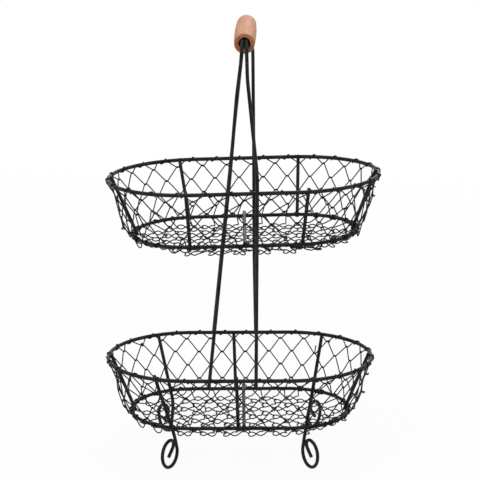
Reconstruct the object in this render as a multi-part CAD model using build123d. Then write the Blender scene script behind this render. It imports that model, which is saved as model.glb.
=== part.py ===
from build123d import *
import math
import os

os.makedirs("parts", exist_ok=True)

# Driving dimensions in mm and degrees. X runs along the baskets, Y from front (-) to back (+), Z up.
# Widths and depths of the ovals are to the middle of the wire.
rim_wire_d = 4.2
ring_wire_d = 4.0
frame_wire_d = 3.8
handle_wire_d = 3.8
netting_wire_d = 1.2
lap = 0.2  # how far two welded wires sink into one another

rim_half_length = 146.2
rim_half_depth = 81.0
ring_half_length = 121.5
ring_half_depth = 61.5
straight_half = 54.0  # half of the straight part of each long side
basket_height = 62.0  # bottom ring to top rim

lower_ring_z = 48.5
upper_ring_z = 255.5
lower_shift = -2.6  # the baskets are welded on slightly to either side of the middle
upper_shift = 3.3
upper_tilt = 1.35  # the right end of the upper basket stands higher

rib_stub = 3.0  # a rib's cut end stands this far above the middle of the rim
rib_tail = 2.0  # and ends this far below the middle of the ring
cross_overhang = 2.6

scroll_turn = 53.0  # the plane of each scroll, measured from the X axis
scroll_centre_z = 17.3
scroll_half_width = 13.3  # to the corners of the bends
scroll_half_height = 15.9
scroll_end = [(-0.5, 16.0), (-5.6, 13.6), (-6.9, 9.2), (-5.2, 5.2), (2.4, -3.6)]  # across and up from its middle
knee_drop = 13.0  # the leg starts to bend above this far below the ring
longest_bend = 8.0  # of the straight runs on either side of a corner

grip_length = 124.0
grip_middle_d = 23.2
grip_end_d = 21.4
grip_bore_d = 12.5
grip_edge = 1.6
grip_centre = Vector(4.6, 3, 471.3)
grip_yaw = 1.35
handle_rise = 3.3  # the wires lie in the upper half of the bore
handle_spread = 2.15  # each wire's distance from the middle of the bore
handle_corner = 9.0
handle_bend = 120.0

cell_pitch = 27.0
side_cells = 4  # netting cells along each straight side
end_cells = 10  # and round each end
panel_cells = 2  # cells in each length of netting wire round the ends
twist_half = 1.5
netting_gap = 0.03
row_drops = [1.95, 7.0, 21.2, 35.7, 51.0, 60.1]  # rows of twists, below the rim; the outer two touch the wires
floor_rows = 8
floor_sag = 6.0


def round_bar(path, d):
    """A round wire along a path."""
    section = Plane(origin=path @ 0, z_dir=path % 0) * Circle(d / 2)
    return sweep(section, path=path)


def rod(start, end, d):
    """A straight round wire between two points."""
    return round_bar(Line(start, end), d)


def oval_path(half_length, half_depth):
    """The closed middle line of a rim or ring: two straight sides and two half ellipses."""
    reach = half_length - straight_half
    right = EllipticalCenterArc((straight_half, 0), reach, half_depth, start_angle=-90, arc_size=180)
    back = Line((straight_half, half_depth), (-straight_half, half_depth))
    left = EllipticalCenterArc((-straight_half, 0), reach, half_depth, start_angle=90, arc_size=180)
    front = Line((-straight_half, -half_depth), (straight_half, -half_depth))
    return Wire([right, back, left, front])


def side_point(x, side, half_length, half_depth, inset, z):
    """The point of an oval at x on its front (side -1) or back (side 1), moved inwards by inset."""
    reach = half_length - straight_half
    past = max(abs(x) - straight_half, 0) / reach
    y = half_depth * math.sqrt(1 - past * past)
    normal = Vector(math.copysign(past / reach, x), side * y / half_depth**2, 0).normalized()
    return Vector(x, side * y, z) - normal * inset


def end_point(end, half_length, inset, z):
    """The tip of an oval at its left (end -1) or right (end 1) end, moved inwards by inset."""
    return Vector(end * (half_length - inset), 0, z)


def rim_inset():
    return (rim_wire_d + frame_wire_d) / 2 - lap


def ring_inset():
    return (ring_wire_d + frame_wire_d) / 2 - lap


def side_rib_line(top_x, bottom_x, side):
    """The two points, at rim and ring height, of a rib that leans along a long side."""
    top = side_point(top_x, side, rim_half_length, rim_half_depth, rim_inset(), basket_height)
    bottom = side_point(bottom_x, side, ring_half_length, ring_half_depth, ring_inset(), 0)
    return top, bottom


def end_rib_line(end):
    """The two points, at rim and ring height, of the rib in the middle of an end."""
    top = end_point(end, rim_half_length, rim_inset(), basket_height)
    bottom = end_point(end, ring_half_length, ring_inset(), 0)
    return top, bottom


def rib(line):
    """A straight rib with its cut ends standing a little past the rim and the ring."""
    top, bottom = line
    along = (top - bottom).normalized()
    return rod(bottom - along * rib_tail, top + along * rib_stub, frame_wire_d)


def cross_wire(x):
    """The front-to-back wire that lies on the bottom ring."""
    z = (ring_wire_d + frame_wire_d) / 2 - lap
    reach = ring_half_depth + cross_overhang
    return rod(Vector(x, -reach, z), Vector(x, reach, z), frame_wire_d)


def bent_path(points):
    """Straight runs through a list of points, joined by arcs as large as the runs allow."""
    radii = []
    for before, at, after in zip(points, points[1:], points[2:]):
        turn = math.radians((at - before).get_angle(after - at))
        run = min((at - before).length, (after - at).length, longest_bend / 0.45)
        radii.append(0.45 * run / math.tan(turn / 2))
    return FilletPolyline(*points, radius=radii)


def leg(line, out_x, side, centre):
    """A rib that carries on below the ring and curls outwards into a scroll foot.

    centre is how far the middle of the scroll lies outwards of the knee along X and along Y.
    """
    top, bottom = line
    down = (bottom - top).normalized()
    knee = bottom + down * 3
    turn = math.radians(scroll_turn)
    out = Vector(out_x * math.cos(turn), side * math.sin(turn), 0)
    middle = Vector(knee.X + out_x * centre[0], knee.Y + side * centre[1], scroll_centre_z - lower_ring_z)
    points = [top - down * rib_stub, bottom + down * knee_drop]
    for angle in range(180, 421, 30):
        across = scroll_half_width * math.cos(math.radians(angle))
        rise = scroll_half_height * math.sin(math.radians(angle))
        points.append(middle + out * across + Vector(0, 0, rise))
    for across, rise in scroll_end:
        points.append(middle + out * across + Vector(0, 0, rise))
    return round_bar(bent_path(points), frame_wire_d)


def oval_at(cells, half_length, half_depth):
    """The point of an oval a number of netting cells round from the left end of its front side."""
    reach = half_length - straight_half
    lap_cells = 2 * (side_cells + end_cells)
    cells = cells % lap_cells
    if cells < side_cells:
        return Vector(-straight_half + cells * cell_pitch, -half_depth, 0)
    if cells < side_cells + end_cells:
        angle = math.radians(-90 + 180 * (cells - side_cells) / end_cells)
        return Vector(straight_half + reach * math.cos(angle), half_depth * math.sin(angle), 0)
    if cells < 2 * side_cells + end_cells:
        return Vector(straight_half - (cells - side_cells - end_cells) * cell_pitch, half_depth, 0)
    angle = math.radians(90 + 180 * (cells - 2 * side_cells - end_cells) / end_cells)
    return Vector(-straight_half + reach * math.cos(angle), half_depth * math.sin(angle), 0)


def wall_at(cells, drop):
    """A point of the sloping netting wall, drop mm below the rim."""
    share = drop / basket_height
    rim = oval_at(cells, rim_half_length, rim_half_depth)
    ring = oval_at(cells, ring_half_length, ring_half_depth)
    return rim * (1 - share) + ring * share + Vector(0, 0, basket_height - drop)


def netting_wire(points):
    """A thin wire, squared off for simplicity, bent sharply at each point."""
    path = Polyline(*points)
    section = Plane(origin=path @ 0, z_dir=path % 0) * RegularPolygon(netting_wire_d / 2, 4)
    return sweep(section, path=path, transition=Transition.RIGHT)


def wall_wire(first, last, high, low, phase):
    """One length of netting wire that zigzags between two rows of twists."""
    off = netting_wire_d / 2 + netting_gap
    flat = twist_half / cell_pitch
    points = []
    for step in range(2 * (last - first) + 1):
        cells = first + step / 2
        up = step % 2 == phase
        drop = high + off if up else low - off
        if step > 0:
            points.append(wall_at(cells - flat, drop))
        if step < 2 * (last - first):
            points.append(wall_at(cells + flat, drop))
    half_gap = netting_gap / cell_pitch
    starts_up = phase == 0
    drop = high + off if starts_up else low - off
    points.insert(0, wall_at(first + half_gap, drop))
    points.append(wall_at(last - half_gap, drop))
    return netting_wire(points)


def panel_edges():
    """Where the lengths of netting wire begin and end, counted in cells round the basket."""
    half_way = side_cells + end_cells
    edges = [0]
    for start in (0, half_way):
        edges += [start + side_cells + c for c in range(0, end_cells, panel_cells)]
        edges.append(start + half_way)
    return edges


def side_netting():
    """All the lengths of wire in a basket's wall, row by row."""
    wires = []
    edges = panel_edges()
    for row, (high, low) in enumerate(zip(row_drops, row_drops[1:])):
        for first, last in zip(edges, edges[1:]):
            wires.append(wall_wire(first, last, high, low, row % 2))
    return Compound(children=wires)


def floor_at(x, y):
    """A point of the sagging netting floor, which hangs from the underside of the ring."""
    past = max(abs(x) - straight_half, 0) / (ring_half_length - straight_half)
    edge = min(past**2 + (y / ring_half_depth) ** 2, 1)
    under = (ring_wire_d + netting_wire_d) / 2 - 0.1
    return Vector(x, y, -under - floor_sag * (1 - edge**2))


def floor_reach(y):
    """Half the length of the floor at a distance y from its middle."""
    share = min(abs(y) / ring_half_depth, 1)
    return straight_half + (ring_half_length - straight_half) * math.sqrt(1 - share * share)


def floor_wire(front, back, phase):
    """One netting wire that zigzags along the floor between two rows of twists."""
    off = netting_wire_d / 2 + netting_gap
    half = cell_pitch / 2
    inner = floor_reach(max(abs(front), abs(back)) - 2) - 3
    count = int(inner // half)
    points = []
    for step in range(-count, count + 1):
        y = front + off if (step + phase) % 2 == 0 else back - off
        points.append(floor_at(step * half - twist_half, y))
        points.append(floor_at(step * half + twist_half, y))
    last_y = points[-1].Y
    end = floor_reach(last_y)
    points.insert(0, floor_at(-end, last_y))
    points.append(floor_at(end, last_y))
    return netting_wire(points)


def floor_netting():
    """The netting wires of a basket's floor, front to back."""
    pitch = 2 * ring_half_depth / floor_rows
    wires = []
    for row in range(floor_rows):
        front = -ring_half_depth + row * pitch
        wires.append(floor_wire(front, front + pitch, row % 2))
    return Compound(children=wires)


def handle_wire(side, front_leg, back_leg):
    """A long inverted U: up from the lower rim, through the grip and down at the back."""
    spread = Vector(side * handle_spread, 0, handle_rise)
    reach = grip_length / 2 + handle_corner - 1
    along = Vector(math.sin(math.radians(grip_yaw)), math.cos(math.radians(grip_yaw)), 0)
    points = [Vector(*p) for p in front_leg]
    points += [grip_centre + spread - along * reach, grip_centre + spread + along * reach]
    points += [Vector(*p) for p in reversed(back_leg)]
    bends = [handle_bend] * (len(front_leg) - 2) + [60]
    radii = bends + [handle_corner, handle_corner, 60] + [handle_bend] * (len(back_leg) - 2)
    return round_bar(FilletPolyline(*points, radius=radii), handle_wire_d)


def wooden_grip():
    """A turned wooden tube, a little thicker in the middle, with softened ends."""
    half = grip_length / 2
    end, middle, bore = grip_end_d / 2, grip_middle_d / 2, grip_bore_d / 2
    side = ThreePointArc((end, -half), (middle, 0), (end, half))
    rest = Polyline((end, half), (bore, half), (bore, -half), (end, -half))
    body = revolve(make_face(Plane.XZ * Curve([side, rest])), Axis.Z)
    edges = body.faces().filter_by(GeomType.PLANE).edges().group_by(SortBy.LENGTH)
    body = fillet(edges[-1], grip_edge)
    body = fillet(body.faces().filter_by(GeomType.PLANE).edges().group_by(SortBy.LENGTH)[0], 0.6)
    return Location(grip_centre, (0, 0, -grip_yaw)) * (Rotation(90, 0, 0) * body)


def save(node, shape):
    export_step(shape, f"parts/{node}.step")


upper = Location((upper_shift, 0, upper_ring_z), (0, -upper_tilt, 0))
lower = Location((lower_shift, 0, lower_ring_z))

for tier, place in (("upper", upper), ("lower", lower)):
    rim = round_bar(oval_path(rim_half_length, rim_half_depth), rim_wire_d)
    save(f"{tier}_top_rim", place * (Pos(0, 0, basket_height) * rim))
    ring = round_bar(oval_path(ring_half_length, ring_half_depth), ring_wire_d)
    save(f"{tier}_bottom_ring", place * ring)
    save(f"{tier}_rib_left_end", place * rib(end_rib_line(-1)))
    save(f"{tier}_rib_right_end", place * rib(end_rib_line(1)))
    save(f"{tier}_side_netting", place * side_netting())
    save(f"{tier}_floor_netting", place * floor_netting())

# Ribs of the upper basket: x at the rim, x at the ring.
save("upper_rib_front_left", upper * rib(side_rib_line(-60.7, -58.7, -1)))
save("upper_rib_front_right", upper * rib(side_rib_line(68.3, 61.3, -1)))
save("upper_rib_back_left", upper * rib(side_rib_line(-71.7, -62.5, 1)))
save("upper_rib_back_right", upper * rib(side_rib_line(62.3, 59.3, 1)))
save("upper_cross_wire", upper * cross_wire(-0.2))

# The lower basket has four legs, each curled by hand a little differently, and two centre ribs.
save("lower_leg_front_left", lower * leg(side_rib_line(-93, -76.5, -1), -1, -1, (2.7, 3.6)))
save("lower_leg_front_right", lower * leg(side_rib_line(81.2, 73.2, -1), 1, -1, (4.8, 3.6)))
save("lower_leg_back_left", lower * leg(side_rib_line(-94.8, -80.8, 1), -1, 1, (7.5, 0)))
save("lower_leg_back_right", lower * leg(side_rib_line(96, 85, 1), 1, 1, (2.7, 10)))
save("lower_rib_front_centre", lower * rib(side_rib_line(-3.8, -2.3, -1)))
save("lower_rib_back_centre", lower * rib(side_rib_line(-6.8, -4.8, 1)))
save("lower_cross_wire", lower * cross_wire(4.2))

# Each handle wire: foot at the lower rim, bend just above the upper rim, bend below the grip.
handle_y = rim_half_depth + (rim_wire_d + handle_wire_d) / 2 - lap
left_front = [(-36, -handle_y, 104.6), (-12.4, -handle_y, 337), (-4.9, -71.5, 420), (-0.5, -66, 453)]
left_back = [(-33.2, handle_y, 107), (-9.5, handle_y, 337), (1.5, 70, 443)]
right_front = [(14.5, -handle_y, 104.6), (16.1, -handle_y, 337), (6.1, -66, 435)]
right_back = [(15.9, handle_y, 107), (14.3, handle_y, 200), (13.9, handle_y, 337), (13, 70, 443)]
save("handle_wire_left", handle_wire(-1, left_front, left_back))
save("handle_wire_right", handle_wire(1, right_front, right_back))
save("wooden_grip", wooden_grip())
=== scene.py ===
import math
import random

import bpy
import numpy as np
from mathutils import Matrix, Vector

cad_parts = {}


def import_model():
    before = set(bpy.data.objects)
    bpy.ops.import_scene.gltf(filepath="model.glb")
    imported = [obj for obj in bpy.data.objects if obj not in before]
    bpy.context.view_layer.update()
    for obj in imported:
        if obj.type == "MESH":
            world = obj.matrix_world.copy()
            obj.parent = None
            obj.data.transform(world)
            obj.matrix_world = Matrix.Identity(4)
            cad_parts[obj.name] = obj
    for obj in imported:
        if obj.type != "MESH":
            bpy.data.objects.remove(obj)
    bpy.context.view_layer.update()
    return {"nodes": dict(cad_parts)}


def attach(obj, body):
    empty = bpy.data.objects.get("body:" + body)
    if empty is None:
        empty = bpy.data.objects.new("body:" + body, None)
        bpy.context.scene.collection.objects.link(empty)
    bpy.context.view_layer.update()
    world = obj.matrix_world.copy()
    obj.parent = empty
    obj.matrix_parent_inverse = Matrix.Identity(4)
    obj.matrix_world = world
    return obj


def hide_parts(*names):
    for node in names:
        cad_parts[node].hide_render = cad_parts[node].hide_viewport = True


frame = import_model()
nodes = frame["nodes"]
rng = random.Random(11)

# Sizes are in millimetres as far as the materials, which are in metres, as are the stage, lights and camera.
# The frame is the CAD's: +Z up, front towards -Y.
MM = 0.001
UP = Vector((0, 0, 1))

# One basket: the middle lines of its rim and ring are ovals with straight sides, 2 * STRAIGHT long.
RIM_HALF = (146.2, 81.0)
RING_HALF = (121.5, 61.5)
STRAIGHT = 54.0
HEIGHT = 62.0
RIM_R = 2.1
RING_R = 2.0

# The netting wire, and the radius at which it winds round the rim and the ring.
WIRE_R = 0.68
WIRE_SIDES = 7
RIM_WIND_R = RIM_R + WIRE_R * 0.9
RING_WIND_R = RING_R + WIRE_R * 0.9

# The wall netting is counted in cells, from the left end of the front side towards the right.
SIDE_CELLS = 4
END_CELLS = 10
RIGHT_END = SIDE_CELLS
BACK_SIDE = RIGHT_END + END_CELLS
LEFT_END = BACK_SIDE + SIDE_CELLS
CELLS = LEFT_END + END_CELLS
SIDE_CELL = 2 * STRAIGHT / SIDE_CELLS
END_DEGREES = 180 / END_CELLS
PITCH = 26.4

# How far below the rim each row of twists lies, and how far a twist may stray from its place.
ROW_DROPS = (7.0, 21.2, 35.7, 51.0)
JITTER = 0.45

# How far outside the rim and the ring the wall netting hangs. Round the ends its top is drawn in by TOP_TUCK,
# and its bulge sits lower as BULGE_LOW grows.
TOP_OUT = 1.6
TOP_TUCK = 2.6
LOW_OUT = 2.2
BULGE_LOW = 2.4

# Where the one stray end stands at the back, and how far along a basket the cut ends begin.
STRAY_NEAR = (79, 70, 40)
TAIL_FROM_X = 82

FLOOR_ROWS = 10
FLOOR_COLUMNS = range(-5, 8)
FLOOR_MARGIN = 8

# The shares of a run between two twists at which it has points: more of them hold it straighter.
TIGHT = (0.1, 0.3, 0.5, 0.7, 0.9)
MIDDLE = (0.25, 0.75)
LOOSE = (0.5,)

# Each basket's place, then its netting as the photograph shows it:
# - front, back, ring_front and ring_back are the phases of the twists along each side, in cells;
# - floor_x, floor_y and floor_step place the floor's rows;
# - bulge is how far the netting stands out at the ends;
# - tails are counts of cut ends at the right (1) and left (-1) end, and stray says if one stands at the back;
# - ribs are x at the rim, x at the ring and side (-1 front, 1 back), and cross_x is the cross wire's place.
TIERS = {
    "upper": {
        "shift": 3.3,
        "z": 255.5,
        "tilt": 1.35,
        "front": 0.05,
        "back": -0.32,
        "ring_front": -0.22,
        "ring_back": 0.2,
        "floor_x": -40.0,
        "floor_y": 50.0,
        "floor_step": 11.75,
        "bulge": 3.5,
        "tails": [(10, 1), (4, -1)],
        "stray": False,
        "ribs": [(-60.7, -58.7, -1), (68.3, 61.3, -1), (-71.7, -62.5, 1), (62.3, 59.3, 1)],
        "cross_x": -0.2,
    },
    "lower": {
        "shift": -2.6,
        "z": 48.5,
        "tilt": 0.0,
        "front": 0.37,
        "back": 0.25,
        "ring_front": 0.14,
        "ring_back": 0.16,
        "floor_x": -45.1,
        "floor_y": 54.5,
        "floor_step": 12.2,
        "bulge": 4.5,
        "tails": [(5, 1), (6, -1)],
        "stray": True,
        "ribs": [
            (-93, -76.5, -1),
            (81.2, 73.2, -1),
            (-94.8, -80.8, 1),
            (96, 85, 1),
            (-3.8, -2.3, -1),
            (-6.8, -4.8, 1),
        ],
        "cross_x": 4.2,
    },
}


def lift(tier, p):
    """A point in a basket's own millimetres, moved to where the basket stands, in metres."""
    a = math.radians(tier["tilt"])
    x, y, z = p
    return (
        (tier["shift"] + x * math.cos(a) - z * math.sin(a)) * MM,
        y * MM,
        (tier["z"] + x * math.sin(a) + z * math.cos(a)) * MM,
    )


# ---------------------------------------------------------------- wires as meshes


def chaikin(points, rounds):
    """Rounds the corners of an open line, keeping its two ends."""
    p = np.array(points, float)
    for _ in range(rounds):
        q = np.empty((2 * len(p) - 2, 3))
        q[0::2] = 0.75 * p[:-1] + 0.25 * p[1:]
        q[1::2] = 0.25 * p[:-1] + 0.75 * p[1:]
        p = np.vstack([p[:1], q, p[-1:]])
    return p


def tube(points, radius):
    """Vertices and faces of a round wire along a line of points."""
    p = np.array(points, float)
    p = p[np.r_[True, np.linalg.norm(np.diff(p, axis=0), axis=1) > 1e-6]]
    t = np.gradient(p, axis=0)
    t /= np.linalg.norm(t, axis=1)[:, None]
    n = np.cross(t[0], (0.3, 0.5, 0.81))
    n /= np.linalg.norm(n)
    turn = np.linspace(0, 2 * np.pi, WIRE_SIDES, endpoint=False)
    rings = []
    for i in range(len(p)):
        n = n - t[i] * n.dot(t[i])
        n /= np.linalg.norm(n)
        b = np.cross(t[i], n)
        rings.append(p[i] + radius * (np.outer(np.cos(turn), n) + np.outer(np.sin(turn), b)))
    faces = []
    for i in range(len(p) - 1):
        for k in range(WIRE_SIDES):
            here = i * WIRE_SIDES + k
            beside = i * WIRE_SIDES + (k + 1) % WIRE_SIDES
            faces.append((here, beside, beside + WIRE_SIDES, here + WIRE_SIDES))
    faces.append(tuple(range(WIRE_SIDES))[::-1])
    faces.append(tuple((len(p) - 1) * WIRE_SIDES + k for k in range(WIRE_SIDES)))
    return np.vstack(rings), faces


def mesh_piece(name, parts, material, body):
    """One object from several (vertices, faces) pairs."""
    verts, faces, base = [], [], 0
    for v, f in parts:
        verts.append(v)
        faces += [tuple(i + base for i in face) for face in f]
        base += len(v)
    me = bpy.data.meshes.new(name)
    me.from_pydata(np.vstack(verts).tolist(), [], faces)
    me.materials.append(material)
    me.polygons.foreach_set("use_smooth", [True] * len(me.polygons))
    me.update()
    ob = bpy.data.objects.new(name, me)
    bpy.context.scene.collection.objects.link(ob)
    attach(ob, body)
    return ob


# ---------------------------------------------------------------- the walls of netting


def oval_end(degrees, side, half):
    """A point on the right (1) or left (-1) end of an oval, and its outward normal."""
    far = half[0] - STRAIGHT
    a = math.radians(degrees)
    p = Vector((side * STRAIGHT + far * math.cos(a), half[1] * math.sin(a), 0))
    return p, Vector((math.cos(a) / far, math.sin(a) / half[1], 0)).normalized()


def oval(cells, half):
    """The point and outward normal of an oval, so many cells round from the left end of its front side."""
    c = cells % CELLS
    if c < RIGHT_END:
        return Vector((-STRAIGHT + c * SIDE_CELL, -half[1], 0)), Vector((0, -1, 0))
    if c < BACK_SIDE:
        return oval_end(-90 + END_DEGREES * (c - RIGHT_END), 1, half)
    if c < LEFT_END:
        return Vector((STRAIGHT - (c - BACK_SIDE) * SIDE_CELL, half[1], 0)), Vector((0, 1, 0))
    return oval_end(90 + END_DEGREES * (c - LEFT_END), -1, half)


def endness(cells):
    """0 along the straight sides of a basket, rising to 1 in the middle of each end."""
    c = cells % BACK_SIDE
    return 0.0 if c < SIDE_CELLS else math.sin(math.pi * (c - SIDE_CELLS) / END_CELLS)


def wall(cells, drop, bulge):
    """Point, direction along the wire, direction down and outward normal of the netting wall."""
    a, na = oval(cells, RIM_HALF)
    b, _ = oval(cells, RING_HALF)
    top = a + UP * HEIGHT + na * (TOP_OUT - TOP_TUCK * endness(cells))
    low = b + na * LOW_OUT
    k = drop / HEIGHT
    p = top * (1 - k) + low * k
    down = (low - top).normalized()
    along = na.cross(UP) * -1
    normal = along.cross(down)
    if normal.dot(na) < 0:
        normal = -normal
    p = p + normal * (bulge * endness(cells) * math.sin(math.pi * min(k, 1.0) ** BULGE_LOW))
    return p, along, down, normal


def blend_phase(i, front, back):
    """The phase of cell i round a basket, which changes evenly round the ends."""
    if i < RIGHT_END:
        return front
    if i < BACK_SIDE:
        return front + (back - front) * (i - RIGHT_END) / END_CELLS
    if i < LEFT_END:
        return back
    return back + (front - back) * (i - LEFT_END) / END_CELLS


class Node:
    """A place where two neighbouring netting wires twist round one another: half a turn, or more when loose."""

    def __init__(self, p, along, down, normal, length, radius, loose=False):
        self.p, self.along, self.down, self.normal = p, along, down, normal
        self.length, self.radius, self.loose = length, radius, loose

    def turn(self, role):
        """The points of one wire through the twist: role 1 comes from above, role -1 from below."""
        shares = (-0.8, -0.5, -0.25, 0, 0.25, 0.5, 0.8) if self.loose else (-0.5, -0.2, 0.2, 0.5)
        points = []
        for share in shares:
            a = share * math.pi
            across = math.cos(a) * self.radius * role
            out = -math.sin(a) * self.radius * role
            s = share * self.length
            points.append(self.p + self.along * s + self.down * across + self.normal * out)
        return points

    def turned_to_x(self):
        """The same twist, read in the direction of +X."""
        if self.along.x > 0:
            return self
        return Node(self.p, -self.along, self.down, -self.normal, self.length, self.radius, self.loose)


def thread(chunks, shares):
    """One wire through lists of points; shares are the points that hold the runs between them straight."""
    line = []
    for chunk in chunks:
        if line:
            line += [line[-1].lerp(chunk[0], share) for share in shares]
        line += chunk
    return line


def closed(line):
    """The line, brought back to its first point."""
    return line + [line[0]]


def wrap(centre, along, out, radius, turns, advance, start):
    """Points of a wire wound round a rim or ring, in degrees from straight outwards towards up."""
    count = max(int(abs(turns) / 36), 3)
    points = []
    for i in range(count + 1):
        k = i / count
        a = math.radians(start + turns * k)
        points.append(centre + along * (advance * (k - 0.5)) + (out * math.cos(a) + UP * math.sin(a)) * radius)
    return points


def rim_wrap(cells, advance):
    """A little more than one turn of the top netting wire round the rim."""
    c, n = oval(cells, RIM_HALF)
    along = n.cross(UP) * -1
    return wrap(c + UP * HEIGHT, along, n, RIM_WIND_R, 410, advance, -45)


def ring_loop(cells):
    """Where a wall wire dips under the end of a basket or is hooked round its ring."""
    c, n = oval(cells, RING_HALF)
    along = n.cross(UP) * -1
    if rng.random() < 0.45:
        low = c + n * rng.uniform(2.5, 5.5) - UP * rng.uniform(3.0, 6.5)
        return [low - along * 2.5, low + along * 2.5]
    return wrap(c, along, n, RING_WIND_R, -rng.choice((330, 400, 690)), rng.uniform(4, 8), 50)


def wall_row(tier, drop, half_step):
    """The twists of one row round a basket, more uneven round the ends."""
    found = []
    for i in range(CELLS):
        c = i + half_step + blend_phase(i, tier["front"], tier["back"])
        rough = 1 + 2.2 * endness(c)
        stray_c = c + rng.uniform(-1, 1) * JITTER * rough / PITCH
        stray_drop = drop + rng.uniform(-1, 1) * JITTER * rough
        p, along, down, normal = wall(stray_c, stray_drop, tier["bulge"])
        along = (along + down * rng.uniform(-0.14, 0.14) * rough).normalized()
        p = p + normal * rng.uniform(-0.3, 0.5) * rough
        found.append(Node(p, along, down, normal, rng.uniform(1.9, 2.7), WIRE_R * rng.uniform(0.9, 1.1)))
    return found


def ring_row(first, phase):
    """The twists against the ring's outer underside along one side, shared by the wall and the floor."""
    found = {}
    for i in range(first, first + SIDE_CELLS + 1):
        c = i + phase + 0.02 * (i - first)
        p, n = oval(c, RING_HALF)
        along = n.cross(UP) * -1
        out = (n * 0.75 - UP * 0.66).normalized()
        down = (-n * 0.66 - UP * 0.75).normalized()
        found[i] = Node(p + out * (RING_R + 1.5), along, down, out, rng.uniform(3.2, 4.4), 0.85)
    return found


def stray_end(row):
    """A cut end that stands up from one twist of the back wall."""
    node = min(row, key=lambda n: (n.p - Vector(STRAY_NEAR)).length)
    line = [node.p + node.along * 2 + node.normal * 0.8, node.p - node.normal * 1.2, node.p + node.down * 1.0]
    return line + [node.p + node.normal - node.down * k + node.along * 0.3 for k in (1.5, 5.0, 9.0)]


def tails(rows, count, side):
    """Cut ends of netting wire that stand out of the twists round one end of a basket, a little coiled."""
    near_end = [n for row in rows for n in row if n.p.x * side > TAIL_FROM_X]
    steps = 13
    lines = []
    for node in rng.sample(near_end, count):
        way = node.normal + node.down * rng.uniform(-0.8, 0.8) + node.along * rng.uniform(-1, 1)
        way = way.normalized()
        flat = way.cross(UP).normalized()
        other = way.cross(flat)
        length = rng.uniform(3, 6)
        turns = rng.uniform(1.5, 3)
        line = []
        for i in range(steps + 1):
            k = i / steps
            a = 2 * math.pi * turns * k
            r = 0.7 + 0.4 * k
            line.append(node.p + way * (length * k - 0.6) + (flat * math.cos(a) + other * math.sin(a)) * r)
        lines.append(line)
    return lines


def side_lines(tier):
    """All the wall wires of one basket in its own millimetres, and its back and front rows of ring twists."""
    rows = [wall_row(tier, drop, 0.5 * (i % 2)) for i, drop in enumerate(ROW_DROPS)]
    lines = []
    chunks = []
    for i in range(CELLS):
        chunks.append(rows[0][i].turn(1))
        c = i + 0.5 + blend_phase(i, tier["front"], tier["back"]) + rng.uniform(-0.05, 0.05)
        chunks.append(rim_wrap(c, 10.5 + rng.uniform(-1.5, 1.5)))
    lines.append(closed(thread(chunks, MIDDLE)))
    for r in range(len(rows) - 1):
        chunks = []
        for i in range(CELLS):
            pair = [rows[r][i].turn(-1), rows[r + 1][i].turn(1)]
            chunks += pair if r % 2 == 0 else pair[::-1]
        lines.append(closed(thread(chunks, TIGHT)))
    if tier["stray"]:
        lines.append(stray_end(rows[1]))
    for count, side in tier["tails"]:
        lines += tails(rows, count, side)
    front_row = ring_row(0, tier["ring_front"])
    back_row = ring_row(BACK_SIDE, tier["ring_back"])
    at_ring = {**front_row, **back_row}
    chunks = []
    for i in range(CELLS):
        if i in at_ring:
            chunks.append(at_ring[i].turn(1))
        else:
            chunks.append(ring_loop(i + blend_phase(i, tier["front"], tier["back"])))
        chunks.append(rows[-1][i].turn(-1))
    lines.append(closed(thread(chunks, MIDDLE)))
    return lines, back_row, front_row


# ---------------------------------------------------------------- the floors of netting


def floor_z(x, y):
    """Height of the sagging floor below the middle of the ring; it hangs lowest just inside the long sides."""
    past = max(abs(x) - STRAIGHT, 0) / (RING_HALF[0] - STRAIGHT)
    across = abs(y) / RING_HALF[1]
    edge = min(math.sqrt(past**2 + across**2), 1)
    lip = 3.0 * math.exp(-(((across - 0.9) / 0.12) ** 2)) * max(1 - past * 1.6, 0)
    return -3.0 - 5.3 * (1 - edge**8) - lip


def reach(y):
    """Half the length of the ring at a distance y from its middle."""
    k = min(abs(y) / RING_HALF[1], 1)
    return STRAIGHT + (RING_HALF[0] - STRAIGHT) * math.sqrt(1 - k * k)


def floor_node(x, y):
    """A loose twist of the floor, turned a little from the row it lies in."""
    slope = floor_z(x, y + 0.5) - floor_z(x, y - 0.5)
    down = Vector((0, -1, -slope)).normalized()
    along = Vector((1, rng.uniform(-0.18, 0.18), rng.uniform(-0.06, 0.06))).normalized()
    normal = along.cross(down).normalized()
    place = Vector((x, y, floor_z(x, y)))
    return Node(place, along, down, normal, rng.uniform(8.6, 10.6), rng.uniform(1.9, 2.5), loose=True)


def floor_rows(tier, back_row, front_row):
    """The floor's twists, row by row from the back ring to the front ring."""
    rows = [sorted(back_row.values(), key=lambda n: n.p.x)]
    for k in range(FLOOR_ROWS):
        y = tier["floor_y"] - tier["floor_step"] * k
        first = tier["floor_x"] - 0.5 * k + (PITCH / 2 if k % 2 else 0)
        row = []
        for j in FLOOR_COLUMNS:
            x = first + j * PITCH
            if abs(x) < reach(y) - FLOOR_MARGIN:
                row.append(floor_node(x + rng.uniform(-1.3, 1.3), y + rng.uniform(-1, 1)))
        rows.append(row)
    rows.append(sorted(front_row.values(), key=lambda n: n.p.x))
    return rows


def floor_end(y, side):
    """A floor wire's end, wound round the ring and cut off."""
    x = side * reach(y)
    n = Vector((x / RING_HALF[0] ** 2 * 2.5, y / RING_HALF[1] ** 2, 0)).normalized()
    along = Vector((-n.y, n.x, 0)) * rng.choice((-1, 1))
    turns = rng.choice((300, 420, 640))
    line = wrap(Vector((x, y, 0)), along, n, RING_WIND_R, turns, rng.uniform(3, 6), -110)
    tail = line[-1] + (line[-1] - line[-2]).normalized() * rng.uniform(1, 3)
    return line + [tail]


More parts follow.
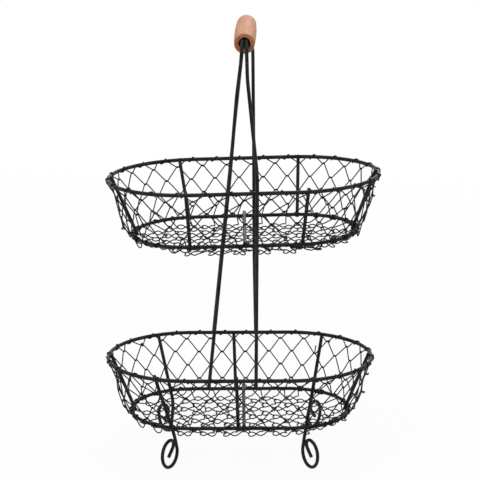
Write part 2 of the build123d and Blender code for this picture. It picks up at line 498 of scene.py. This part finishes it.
def floor_lines(tier, back_row, front_row):
    """The floor wires of one basket, which meet in loose twists in staggered rows."""
    rows = floor_rows(tier, back_row, front_row)
    lines = []
    for k in range(len(rows) - 1):
        last = k == len(rows) - 2
        stops = [(n.turned_to_x(), -1) for n in rows[k]]
        stops += [(n.turned_to_x(), -1 if last else 1) for n in rows[k + 1]]
        stops.sort(key=lambda stop: stop[0].p.x)
        y = (rows[k][0].p.y + rows[k + 1][0].p.y) / 2 + rng.uniform(-2, 2)
        chunks = [floor_end(y, -1)[::-1]] + [n.turn(role) for n, role in stops] + [floor_end(y, 1)]
        lines.append(thread(chunks, LOOSE))
    return lines


def netting_piece(name, tier, lines, material):
    """The wires along several lines as one piece of netting."""
    parts = []
    for line in lines:
        smooth = chaikin([tuple(p) for p in line], 2)
        parts.append(tube([lift(tier, p) for p in smooth], WIRE_R * MM))
    return mesh_piece(name, parts, material, "stand")


# ---------------------------------------------------------------- weld beads

# How far inside the middle lines of rim and ring the welds sit, and the sizes of the beads.
RIM_WELD_IN = 2.2
RING_WELD_IN = 2.0
BASKET_BEAD = 2.0
CROSS_BEAD = 1.9
LOW_HANDLE_BEAD = 2.2
HIGH_HANDLE_BEAD = 2.1
HANDLE_TIP_BEAD = 2.15

# Where the handle's four wires cross the lower and the upper rim: x at each, and side (-1 front, 1 back).
# The two front wires end in a bead just below the lower rim.
HANDLE_AT_RIMS = ((-35.4, -14.4, -1), (14.5, 16.0, -1), (-32.9, -11.5, 1), (15.8, 14.0, 1))
HANDLE_RIM_Y = RIM_HALF[1] + 1.8
HANDLE_TIPS = ((-35.9, -84.8, 106.2), (14.5, -84.8, 106.2))


def on_oval(x, side, half):
    """A point of an oval and its outward normal at x on its front or back."""
    far = half[0] - STRAIGHT
    past = max(abs(x) - STRAIGHT, 0) / far
    y = side * half[1] * math.sqrt(1 - past * past)
    return Vector((x, y, 0)), Vector((math.copysign(past / far, x), y / half[1] ** 2, 0)).normalized()


def bead(centre, axis, size):
    """A lump of weld, in millimetres: a squashed ball with an uneven skin, longest along axis."""
    rings, around = 7, 10
    axis = axis.normalized()
    flat = axis.cross(UP if abs(axis.z) < 0.9 else Vector((1, 0, 0))).normalized()
    other = axis.cross(flat)
    wobble = [rng.uniform(0.86, 1.14) for _ in range(around)]
    verts, faces = [], []
    for i in range(rings + 1):
        a = math.pi * i / rings
        for k in range(around):
            b = 2 * math.pi * k / around
            r = math.sin(a) * wobble[(k + i // 2) % around]
            across = flat * (r * math.cos(b) * size) + other * (r * math.sin(b) * size)
            verts.append(centre + axis * (math.cos(a) * size * 1.3) + across)
    for i in range(rings):
        for k in range(around):
            n = (k + 1) % around
            faces.append((i * around + k, i * around + n, (i + 1) * around + n, (i + 1) * around + k))
    return verts, faces


def basket_beads(tier):
    """The welds of one basket: every rib to the rim and the ring, and the cross wire to the ring."""
    across = Vector((1, 0, 0.2))
    lengthways = Vector((0, 1, 0.2))
    spots = []
    for top_x, low_x, side in tier["ribs"]:
        p, n = on_oval(top_x, side, RIM_HALF)
        spots.append((p - n * RIM_WELD_IN + UP * HEIGHT, across, BASKET_BEAD))
        p, n = on_oval(low_x, side, RING_HALF)
        spots.append((p - n * RING_WELD_IN, across, BASKET_BEAD))
    for end in (-1, 1):
        spots.append((Vector((end * (RIM_HALF[0] - RIM_WELD_IN), 0, HEIGHT)), lengthways, BASKET_BEAD))
        spots.append((Vector((end * (RING_HALF[0] - RING_WELD_IN), 0, 0)), lengthways, BASKET_BEAD))
    for side in (-1, 1):
        spots.append((Vector((tier["cross_x"], side * RING_HALF[1], 2.0)), Vector((1, 0, 0)), CROSS_BEAD))
    parts = []
    for centre, axis, size in spots:
        verts, faces = bead(centre, axis, size)
        parts.append((np.array([lift(tier, tuple(v)) for v in verts]), faces))
    return parts


def handle_beads():
    """The welds that hold the handle's wires to the lower and the upper rim."""
    low, high = (TIERS[tier]["z"] + HEIGHT for tier in ("lower", "upper"))
    sideways = Vector((1, 0, 0))
    spots = []
    for x_low, x_high, side in HANDLE_AT_RIMS:
        spots.append((Vector((x_low, side * HANDLE_RIM_Y, low)), sideways, LOW_HANDLE_BEAD))
        spots.append((Vector((x_high, side * HANDLE_RIM_Y, high)), sideways, HIGH_HANDLE_BEAD))
    for tip in HANDLE_TIPS:
        spots.append((Vector(tip), Vector((0.1, 0, 1)), HANDLE_TIP_BEAD))
    parts = []
    for centre, axis, size in spots:
        verts, faces = bead(centre, axis, size)
        parts.append((np.array([tuple(v) for v in verts]) * MM, faces))
    return parts


# ---------------------------------------------------------------- materials, in metres

PAINT_DARK = (0.004, 0.004, 0.0045)
PAINT_RUBBED = (0.030, 0.029, 0.033)
WOOD_SIDE = [(0.3, (0.405, 0.17, 0.082)), (0.5, (0.5, 0.235, 0.125)), (0.7, (0.55, 0.284, 0.165))]
WOOD_END = [(0.3, (0.25, 0.085, 0.036)), (0.65, (0.5, 0.19, 0.09))]
BUMP_DEPTH = 0.0002


def grey(v):
    """An opaque grey, or a plain number that a ramp can give."""
    return (v, v, v, 1)


class Graph:
    """A small helper that builds a node tree for one material."""

    def __init__(self, name):
        self.mat = bpy.data.materials.new(name)
        self.mat.use_nodes = True
        self.tree = self.mat.node_tree
        self.tree.nodes.clear()
        self.out = self.add("ShaderNodeOutputMaterial")

    def add(self, kind, **inputs):
        """A node with some of its inputs set."""
        node = self.tree.nodes.new(kind)
        for key, value in inputs.items():
            node.inputs[key.replace("_", " ")].default_value = value
        return node

    def link(self, a, out, b, into):
        """Output out of node a to input into of node b, each by name or number."""
        self.tree.links.new(a.outputs[out], b.inputs[into])

    def place(self, scale):
        """The object's own coordinates, stretched."""
        where = self.add("ShaderNodeTexCoord")
        mapping = self.add("ShaderNodeMapping", Scale=scale)
        self.link(where, "Object", mapping, "Vector")
        return mapping

    def noise(self, mapping, scale, detail=3.0, rough=0.6):
        """A noise that varies scale times a metre."""
        n = self.add("ShaderNodeTexNoise", Scale=scale, Detail=detail, Roughness=rough)
        self.link(mapping, "Vector", n, "Vector")
        return n

    def ramp(self, source, out, stops):
        """Colours between stops, which are pairs of a position and a colour."""
        r = self.add("ShaderNodeValToRGB")
        while len(r.color_ramp.elements) < len(stops):
            r.color_ramp.elements.new(0.5)
        for e, (pos, colour) in zip(r.color_ramp.elements, stops):
            e.position = pos
            e.color = colour if len(colour) == 4 else (*colour, 1)
        self.link(source, out, r, "Fac")
        return r

    def bump(self, source, strength, bsdf):
        """Raises the skin of a shader where a noise is high."""
        b = self.add("ShaderNodeBump", Strength=strength, Distance=BUMP_DEPTH)
        self.link(source, "Fac", b, "Height")
        self.link(b, "Normal", bsdf, "Normal")


def coat(name, rough_low, rough_high, bump):
    """Black paint on wire: a slightly uneven, semi-gloss skin with thin rubbed places."""
    g = Graph(name)
    bsdf = g.add("ShaderNodeBsdfPrincipled", IOR=1.18)
    g.link(bsdf, "BSDF", g.out, "Surface")
    m = g.place((1, 1, 1))
    broad = g.noise(m, 90, 4, 0.55)
    tint = g.ramp(broad, "Fac", [(0.28, PAINT_DARK), (0.72, PAINT_RUBBED)])
    g.link(tint, "Color", bsdf, "Base Color")
    fine = g.noise(m, 900)
    gloss = g.ramp(fine, "Fac", [(0.3, grey(rough_low)), (0.7, grey(rough_high))])
    g.link(gloss, "Color", bsdf, "Roughness")
    g.bump(g.noise(m, 420), bump, bsdf)
    return g.mat


def wood():
    """Lightly waxed turned wood: grain along the grip, fine pores and browner cut ends."""
    g = Graph("grip_wood")
    bsdf = g.add("ShaderNodeBsdfPrincipled", IOR=1.32)
    g.link(bsdf, "BSDF", g.out, "Surface")
    m = g.place((1.0, 0.07, 1.0))
    side = g.ramp(g.noise(m, 240, 5, 0.62), "Fac", WOOD_SIDE)
    end = g.ramp(g.noise(g.place((1.0, 0.3, 1.0)), 420, 4), "Fac", WOOD_END)
    where = g.add("ShaderNodeTexCoord")
    split = g.add("ShaderNodeSeparateXYZ")
    g.link(where, "Normal", split, 0)
    facing = g.add("ShaderNodeMath")
    facing.operation = "ABSOLUTE"
    g.link(split, "Y", facing, 0)
    is_end = g.ramp(facing, 0, [(0.55, grey(0)), (0.93, grey(1))])
    mix = g.add("ShaderNodeMix")
    mix.data_type = "RGBA"
    g.link(is_end, "Color", mix, "Factor")
    g.link(side, "Color", mix, 6)
    g.link(end, "Color", mix, 7)
    g.link(mix, 2, bsdf, "Base Color")
    pores = g.noise(m, 900)
    rough = g.ramp(pores, "Fac", [(0.35, grey(0.72)), (0.6, grey(0.56))])
    g.link(rough, "Color", bsdf, "Roughness")
    g.bump(pores, 0.3, bsdf)
    return g.mat


def seen_rays(tree):
    """A node whose output is 1 on the rays that the camera, gloss or glass send out, and 0 on the others."""
    path = tree.nodes.new("ShaderNodeLightPath")
    total = tree.nodes.new("ShaderNodeMath")
    total.operation = "ADD"
    tree.links.new(path.outputs["Is Camera Ray"], total.inputs[0])
    tree.links.new(path.outputs["Is Glossy Ray"], total.inputs[1])
    capped = tree.nodes.new("ShaderNodeMath")
    capped.operation = "ADD"
    capped.use_clamp = True
    tree.links.new(total.outputs[0], capped.inputs[0])
    tree.links.new(path.outputs["Is Transmission Ray"], capped.inputs[1])
    return capped


def stage_material():
    """Paper that the camera, gloss and glass see as white, and that keeps the shadow near the object."""
    g = Graph("studio_white")
    paper = g.add("ShaderNodeBsdfDiffuse", Color=grey(0.9))
    glow = g.add("ShaderNodeEmission", Color=grey(1), Strength=1.0)
    where = g.add("ShaderNodeNewGeometry")
    distance = g.add("ShaderNodeVectorMath")
    distance.operation = "LENGTH"
    g.link(where, "Position", distance, 0)
    share = g.add("ShaderNodeMapRange", From_Min=0.5, From_Max=1.5, To_Min=0.93, To_Max=1.0)
    g.link(distance, "Value", share, "Value")
    blend = g.add("ShaderNodeMixShader")
    g.link(share, "Result", blend, "Fac")
    g.link(paper, "BSDF", blend, 1)
    g.link(glow, "Emission", blend, 2)
    pick = g.add("ShaderNodeMixShader")
    g.link(seen_rays(g.tree), 0, pick, "Fac")
    g.link(paper, "BSDF", pick, 1)
    g.link(blend, "Shader", pick, 2)
    g.link(pick, "Shader", g.out, "Surface")
    return g.mat


# ---------------------------------------------------------------- the pieces

frame_coat = coat("frame_black_coat", 0.24, 0.4, 0.3)
net_coat = coat("netting_black_coat", 0.3, 0.46, 0.2)
grip_wood = wood()

for name, ob in nodes.items():
    ob.data.materials.clear()
    ob.data.materials.append(grip_wood if name == "wooden_grip" else frame_coat)

for name, tier in TIERS.items():
    wall_wires, back_row, front_row = side_lines(tier)
    walls = netting_piece(f"{name}_wall_net", tier, wall_wires, net_coat)
    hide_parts(f"{name}_side_netting")
    floor = netting_piece(f"{name}_floor_net", tier, floor_lines(tier, back_row, front_row), net_coat)
    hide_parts(f"{name}_floor_netting")
    mesh_piece(f"{name}_weld_beads", basket_beads(tier), frame_coat, "stand")
mesh_piece("handle_weld_beads", handle_beads(), frame_coat, "stand")


# ---------------------------------------------------------------- stage, lights and camera, in metres

STAGE_HALF = 4.0
CURVE_START = 1.6
CURVE_R = 0.8
CURVE_STEPS = 12
BACKDROP_TOP = 4.0

# Name, place, what it points at, width and height, and watts.
LAMPS = [
    ("key", (-1.0, -1.2, 1.9), (0, 0, 0.25), (0.8, 0.8), 17),
    ("fill", (1.5, -0.8, 1.1), (0, 0, 0.25), (0.9, 0.9), 5),
    ("top", (0.0, 0.2, 1.9), (0, 0, 0.25), (1.2, 1.2), 12),
    ("back", (0.3, 1.7, 1.0), (0, 0, 0.3), (1.0, 0.6), 5),
]

# The camera's pose, fitted to the photograph. Degrees are down, to the right and about the line of sight.
CAMERA_AT = (-0.00532, -1.9039, 0.7881)
CAMERA_DEGREES = (15.93, 0.1, -0.2)
LENS_MM = 135.78
SENSOR_MM = 36


def sweep_backdrop():
    """A white floor that curves up behind the object into a backdrop."""
    profile = [(-STAGE_HALF, 0.0), (CURVE_START, 0.0)]
    for i in range(1, CURVE_STEPS + 1):
        a = math.radians(90 * i / CURVE_STEPS)
        profile.append((CURVE_START + CURVE_R * math.sin(a), CURVE_R * (1 - math.cos(a))))
    profile.append((CURVE_START + CURVE_R, BACKDROP_TOP))
    verts = [(x, y, z) for y, z in profile for x in (-STAGE_HALF, STAGE_HALF)]
    faces = [(2 * i, 2 * i + 1, 2 * i + 3, 2 * i + 2) for i in range(len(profile) - 1)]
    me = bpy.data.meshes.new("studio_floor")
    me.from_pydata(verts, [], faces)
    me.polygons.foreach_set("use_smooth", [True] * len(me.polygons))
    me.materials.append(stage_material())
    ob = bpy.data.objects.new("studio_floor", me)
    bpy.context.scene.collection.objects.link(ob)


def lamp(name, at, to, size, watts):
    """A rectangular area light at one place, pointed at another."""
    data = bpy.data.lights.new(name, "AREA")
    data.shape = "RECTANGLE"
    data.size, data.size_y = size
    data.energy = watts
    ob = bpy.data.objects.new(name, data)
    ob.location = at
    ob.rotation_euler = (Vector(to) - Vector(at)).to_track_quat("-Z", "Y").to_euler()
    bpy.context.scene.collection.objects.link(ob)


def background(tree, strength):
    """A white background of one strength."""
    node = tree.nodes.new("ShaderNodeBackground")
    node.inputs["Color"].default_value = grey(1)
    node.inputs["Strength"].default_value = strength
    return node


def world():
    """White where the camera, gloss or glass look past the backdrop, and a dim studio for lighting."""
    w = bpy.data.worlds.new("studio")
    w.use_nodes = True
    t = w.node_tree
    t.nodes.clear()
    out = t.nodes.new("ShaderNodeOutputWorld")
    soft = background(t, 0.3)
    white = background(t, 1.0)
    mix = t.nodes.new("ShaderNodeMixShader")
    t.links.new(seen_rays(t).outputs[0], mix.inputs[0])
    t.links.new(soft.outputs[0], mix.inputs[1])
    t.links.new(white.outputs[0], mix.inputs[2])
    t.links.new(mix.outputs[0], out.inputs["Surface"])
    bpy.context.scene.world = w


def camera():
    """The photograph's viewpoint: in front of the stand and above it, looking down at its middle."""
    cam = bpy.data.cameras.new("camera")
    cam.sensor_width = SENSOR_MM
    cam.lens = LENS_MM
    cam.clip_end = 50
    ob = bpy.data.objects.new("camera", cam)
    el, yaw, roll = (math.radians(d) for d in CAMERA_DEGREES)
    fwd = Vector((math.sin(yaw) * math.cos(el), math.cos(yaw) * math.cos(el), -math.sin(el)))
    level = Vector((math.cos(yaw), -math.sin(yaw), 0))
    above = level.cross(fwd)
    right = level * math.cos(roll) + above * math.sin(roll)
    up = above * math.cos(roll) - level * math.sin(roll)
    ob.matrix_world = Matrix.Translation(CAMERA_AT) @ Matrix((right, up, -fwd)).transposed().to_4x4()
    bpy.context.scene.collection.objects.link(ob)
    bpy.context.scene.camera = ob


sweep_backdrop()
world()
for name, at, to, size, watts in LAMPS:
    lamp(name, at, to, size, watts)
camera()
bpy.context.scene.view_settings.view_transform = "Standard"
